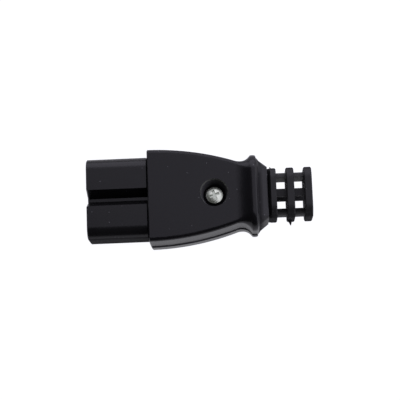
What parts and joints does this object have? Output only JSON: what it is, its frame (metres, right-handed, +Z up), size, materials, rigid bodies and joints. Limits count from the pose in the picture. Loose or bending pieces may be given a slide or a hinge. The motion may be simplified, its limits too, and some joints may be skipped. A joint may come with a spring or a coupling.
{
  "type": "inline power socket",
  "caption": "Rewireable inline appliance socket: keyed insulating nose with contact slots, waisted two-shell housing closed by a recessed screw, and a ribbed flexible cable boot.",
  "frame": {"origin": "on the socket's axis, in the plane of the housing's front face, where the nose leaves it", "axes": "+X along the axis from the nose to the cable boot, +Z up to the side of the housing screw and the keying groove, +Y across the flat"},
  "size_m": [0.0659, 0.0284, 0.02],
  "materials": {
    "housing": "semi-gloss black moulding",
    "insulator": "satin black thermoset moulding",
    "boot": "satin black flexible moulding",
    "plated_steel": "bright plated",
    "contact_brass": "bright rolled strip"
  },
  "bodies": {
    "root": {"upper_shell": "housing", "lower_shell": "housing", "contact_block": "insulator", "cable_boot": "boot", "housing_screw": "plated_steel", "housing_nut": "plated_steel", "live_contact": "contact_brass", "neutral_contact": "contact_brass", "earth_contact": "contact_brass", "live_wire_clamp": "plated_steel", "neutral_wire_clamp": "plated_steel", "earth_wire_clamp": "plated_steel", "live_terminal_screw": "plated_steel", "neutral_terminal_screw": "plated_steel", "earth_terminal_screw": "plated_steel", "cord_clamp": "housing", "left_clamp_screw": "plated_steel", "right_clamp_screw": "plated_steel"}
  },
  "joints": []
}
